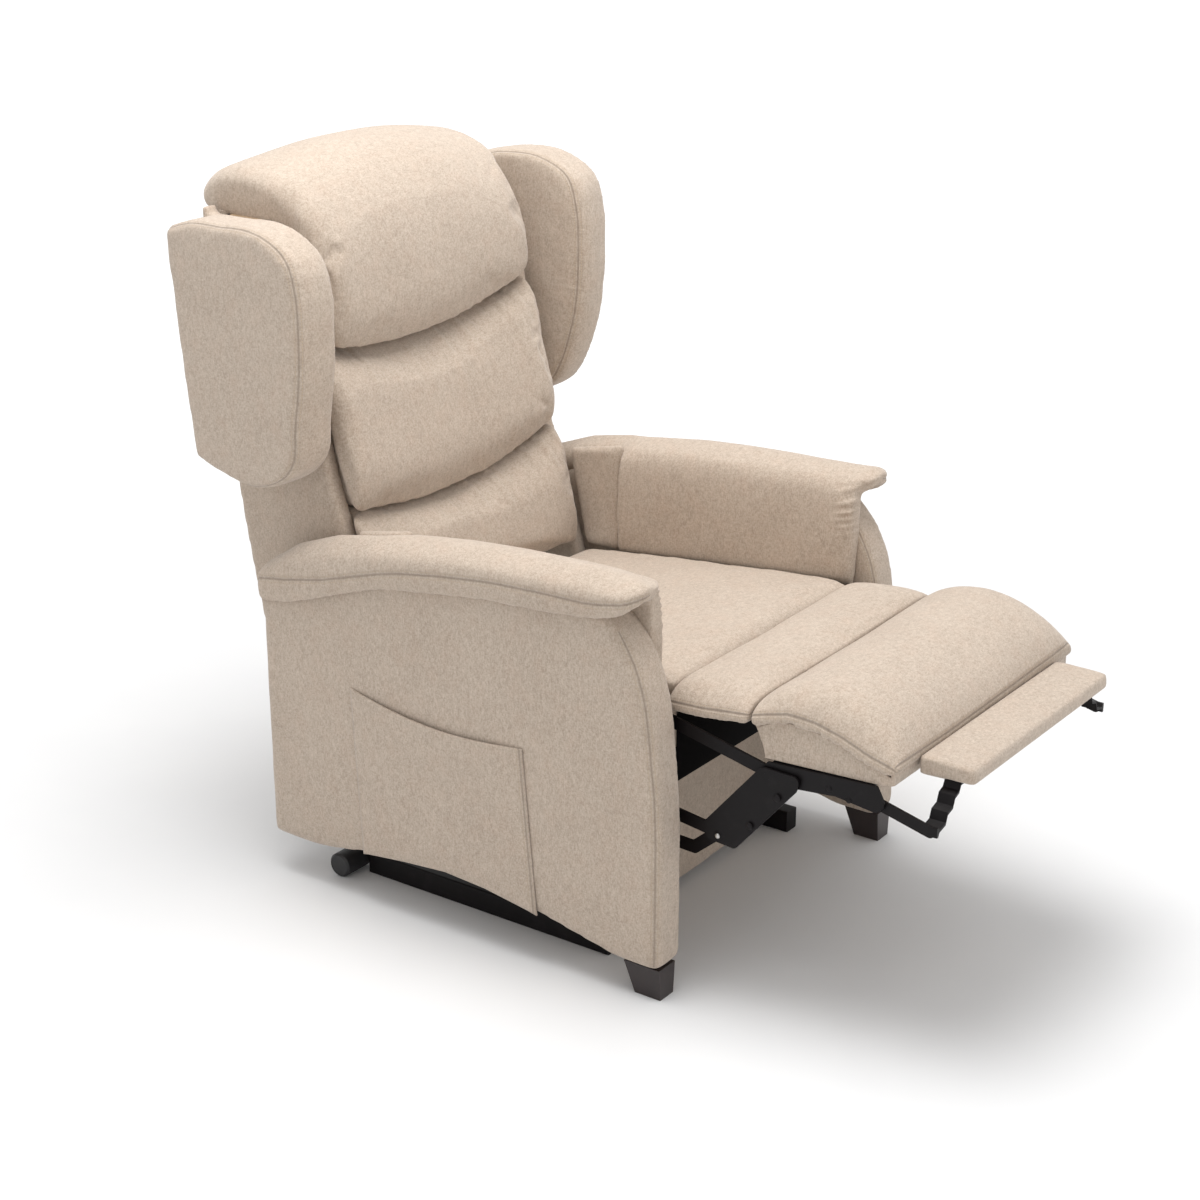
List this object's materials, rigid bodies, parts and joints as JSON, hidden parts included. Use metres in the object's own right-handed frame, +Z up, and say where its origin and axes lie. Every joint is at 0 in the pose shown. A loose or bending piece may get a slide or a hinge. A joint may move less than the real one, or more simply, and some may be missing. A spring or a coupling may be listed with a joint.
{
  "type": "lift recliner",
  "caption": "Upholstered lift recliner with wings, padded arms, a side pocket, a chaise footrest with a fold-over pad, and a tilting steel lift base.",
  "frame": {"origin": "centre of the chair's footprint on the floor, footrest out", "axes": "+Z up, the front and the footrest towards -Y, the sitter's left towards +X"},
  "size_m": [0.7608, 1.3481, 1.1294],
  "materials": {
    "black_lining": "black non-woven cloth, matte",
    "black_plastic": "moulded, matte",
    "black_steel": "black powder coat, satin",
    "dark_wood": "dark brown stain, satin",
    "grey_rubber": "solid wheel, matte",
    "plywood": "raw plywood, matte",
    "rod_steel": "ground rod, satin",
    "spring_wire": "bare spring wire, satin",
    "woven_fabric": "beige melange weave, matte",
    "woven_fabric_side": "beige melange weave, matte"
  },
  "bodies": {
    "base": {"base_side_tube_left": "black_steel", "base_side_tube_right": "black_steel", "base_front_tube": "black_steel", "base_rear_tube": "black_steel", "base_bracket_left": "black_steel", "base_bracket_right": "black_steel"},
    "roller_left": {"rear_roller_left": "grey_rubber"},
    "roller_right": {"rear_roller_right": "grey_rubber"},
    "lift_arms": {"lift_arm_left": "black_steel", "lift_arm_right": "black_steel", "lift_cross_tube": "black_steel"},
    "lift_links": {"lift_link_left": "black_steel", "lift_link_right": "black_steel"},
    "lift_actuator": {"lift_motor": "black_plastic"},
    "lift_actuator_rod": {"lift_rod": "rod_steel"},
    "backrest": {"back_side_frame_left": "plywood", "back_side_frame_right": "plywood", "back_cover": "woven_fabric", "back_rails": "plywood", "lumbar_cushion": "woven_fabric", "middle_cushion": "woven_fabric", "head_cushion": "woven_fabric", "wing_left": "woven_fabric_side", "wing_right": "woven_fabric_side"},
    "footrest": {"footrest_board": "plywood", "footrest_pad": "woven_fabric", "knee_pad": "woven_fabric", "footrest_bracket_left": "black_steel", "footrest_bracket_right": "black_steel"},
    "drive_links": {"drive_link_left": "black_steel", "drive_link_right": "black_steel", "torque_tube": "black_steel"},
    "guide_links": {"guide_link_left": "black_steel", "guide_link_right": "black_steel"},
    "cover_plates": {"cover_plate_left": "black_steel", "cover_plate_right": "black_steel"},
    "flipper": {"flipper_pad": "woven_fabric", "flipper_arm_left": "black_steel", "flipper_arm_right": "black_steel"},
    "recline_actuator": {"recline_motor": "black_plastic"},
    "recline_actuator_rod": {"recline_rod": "rod_steel"},
    "chair": {"arm_fillers": "woven_fabric_side", "arm_pad_left": "woven_fabric", "arm_pad_right": "woven_fabric", "front_apron": "woven_fabric_side", "front_foot_left": "dark_wood", "front_foot_right": "dark_wood", "front_lining": "black_lining", "hanger_bracket_left": "black_steel", "hanger_bracket_right": "black_steel", "mechanism_plate_left": "black_steel", "mechanism_plate_right": "black_steel", "seat_cushion": "woven_fabric", "seat_front_rail": "black_steel", "seat_rear_rail": "black_steel", "seat_side_rails": "black_steel", "seat_springs": "spring_wire", "side_panel_left": "woven_fabric_side", "side_panel_right": "woven_fabric_side", "side_pocket": "woven_fabric_side"}
  },
  "joints": [
    {"name": "roller_left_spin", "type": "hinge", "parent": "base", "child": "roller_left", "pos_m": [0.283, 0.37475, 0.02], "axis": [1, 0, 0], "continuous": true},
    {"name": "roller_right_spin", "type": "hinge", "parent": "base", "child": "roller_right", "pos_m": [-0.283, 0.37475, 0.02], "axis": [1, 0, 0], "continuous": true},
    {"name": "lift", "type": "hinge", "parent": "base", "child": "lift_arms", "pos_m": [0, -0.02125, 0.06], "axis": [1, 0, 0], "range_deg": [0, 50]},
    {"name": "chair_tilt", "type": "hinge", "parent": "lift_arms", "child": "chair", "pos_m": [0, 0.24375, 0.105], "axis": [1, 0, 0], "range_deg": [-28, 0]},
    {"name": "lift_link_turn", "type": "hinge", "parent": "base", "child": "lift_links", "pos_m": [0, -0.01725, 0.12], "axis": [1, 0, 0], "range_deg": [0, 54]},
    {"name": "lift_actuator_swing", "type": "hinge", "parent": "base", "child": "lift_actuator", "pos_m": [0, 0.30175, 0.066], "axis": [1, 0, 0], "range_deg": [0, 7]},
    {"name": "lift_rod_stroke", "type": "slide", "parent": "lift_actuator", "child": "lift_actuator_rod", "axis": [0, -0.9792, 0.2029], "range_m": [0, 0.049]},
    {"name": "back_recline", "type": "hinge", "parent": "chair", "child": "backrest", "pos_m": [0, 0.33875, 0.378], "axis": [-1, 0, 0], "range_deg": [0, 34]},
    {"name": "footrest_fold", "type": "hinge", "parent": "chair", "child": "footrest", "pos_m": [0, -0.22325, 0.412], "axis": [1, 0, 0], "range_deg": [0, 90]},
    {"name": "drive_link_turn", "type": "hinge", "parent": "chair", "child": "drive_links", "pos_m": [0, -0.15425, 0.28], "axis": [1, 0, 0], "range_deg": [0, 94]},
    {"name": "guide_link_turn", "type": "hinge", "parent": "chair", "child": "guide_links", "pos_m": [0, -0.17225, 0.239], "axis": [1, 0, 0], "range_deg": [0, 122]},
    {"name": "cover_plate_turn", "type": "hinge", "parent": "footrest", "child": "cover_plates", "pos_m": [0, -0.39625, 0.37], "axis": [1, 0, 0], "range_deg": [-99, 0]},
    {"name": "flipper_fold", "type": "hinge", "parent": "footrest", "child": "flipper", "pos_m": [0, -0.57025, 0.368], "axis": [1, 0, 0], "range_deg": [0, 170]},
    {"name": "recline_actuator_swing", "type": "hinge", "parent": "chair", "child": "recline_actuator", "pos_m": [0, 0.23375, 0.285], "axis": [1, 0, 0], "range_deg": [-7, 0]},
    {"name": "recline_rod_stroke", "type": "slide", "parent": "recline_actuator", "child": "recline_actuator_rod", "axis": [0, -0.9999, -0.0146], "range_m": [0, 0.051]}
  ],
  "couplings": [
    {"joint": "chair_tilt", "follows": "lift", "ratio": -0.56},
    {"joint": "lift_link_turn", "follows": "lift", "ratio": 1.064},
    {"joint": "lift_actuator_swing", "follows": "lift", "ratio": 0.132},
    {"joint": "lift_rod_stroke", "follows": "lift", "m_per_rad": 0.0554},
    {"joint": "drive_link_turn", "follows": "footrest_fold", "ratio": 1.04},
    {"joint": "guide_link_turn", "follows": "footrest_fold", "ratio": 1.3467},
    {"joint": "cover_plate_turn", "follows": "footrest_fold", "ratio": -1.0956},
    {"joint": "flipper_fold", "follows": "footrest_fold", "ratio": 1.8889},
    {"joint": "recline_actuator_swing", "follows": "footrest_fold", "ratio": -0.0741},
    {"joint": "recline_rod_stroke", "follows": "footrest_fold", "m_per_rad": 0.0317}
  ]
}
